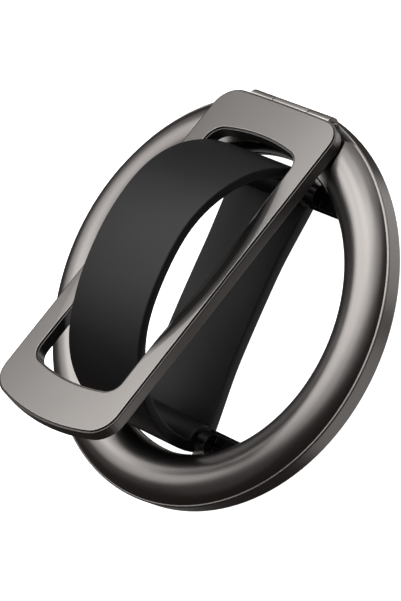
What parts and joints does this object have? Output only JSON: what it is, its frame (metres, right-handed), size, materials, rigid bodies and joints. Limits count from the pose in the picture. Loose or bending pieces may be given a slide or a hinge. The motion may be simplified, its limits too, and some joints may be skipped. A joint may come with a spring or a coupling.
{
  "type": "magnetic phone ring holder",
  "caption": "Magnetic phone ring holder: rounded metal ring with a flat clinging face, a windowed fold-out stand hinged at its rim, and a soft finger strap across its opening.",
  "frame": {"origin": "centre of the ring, on the underside of the grip pad that clings to the phone", "axes": "+Z away from the phone, +Y towards the stand's hinge, +X along the hinge's axis"},
  "size_m": [0.058, 0.0575, 0.0254],
  "materials": {
    "gunmetal_ring": "satin gunmetal plating on a zinc casting",
    "gunmetal_stand": "satin gunmetal plating with a bright cut border",
    "pin_steel": "polished",
    "plate_steel": "plated, plain",
    "yoke_steel": "plain",
    "magnet": "nickel plated",
    "pad": "matte",
    "strap": "matte silicone"
  },
  "bodies": {
    "ring": {"ring_housing": "gunmetal_ring", "steel_yoke": "yoke_steel", "base_plate": "plate_steel", "grip_pad": "pad", "hinge_pin": "pin_steel", "friction_washer_left": "pin_steel", "friction_washer_right": "pin_steel", "finger_strap": "strap", "upper_strap_bar": "pin_steel", "lower_strap_bar": "pin_steel", "magnet_1": "magnet", "magnet_2": "magnet", "magnet_3": "magnet", "magnet_4": "magnet", "magnet_5": "magnet", "magnet_6": "magnet", "magnet_7": "magnet", "magnet_8": "magnet", "magnet_9": "magnet", "magnet_10": "magnet", "magnet_11": "magnet", "magnet_12": "magnet", "magnet_13": "magnet", "magnet_14": "magnet", "magnet_15": "magnet", "magnet_16": "magnet"},
    "stand": {"stand": "gunmetal_stand"}
  },
  "joints": [
    {"name": "stand_hinge", "type": "hinge", "parent": "ring", "child": "stand", "pos_m": [0, 0.0273, 0.0043], "axis": [-1, 0, 0], "range_deg": [-18.8, 85]}
  ]
}
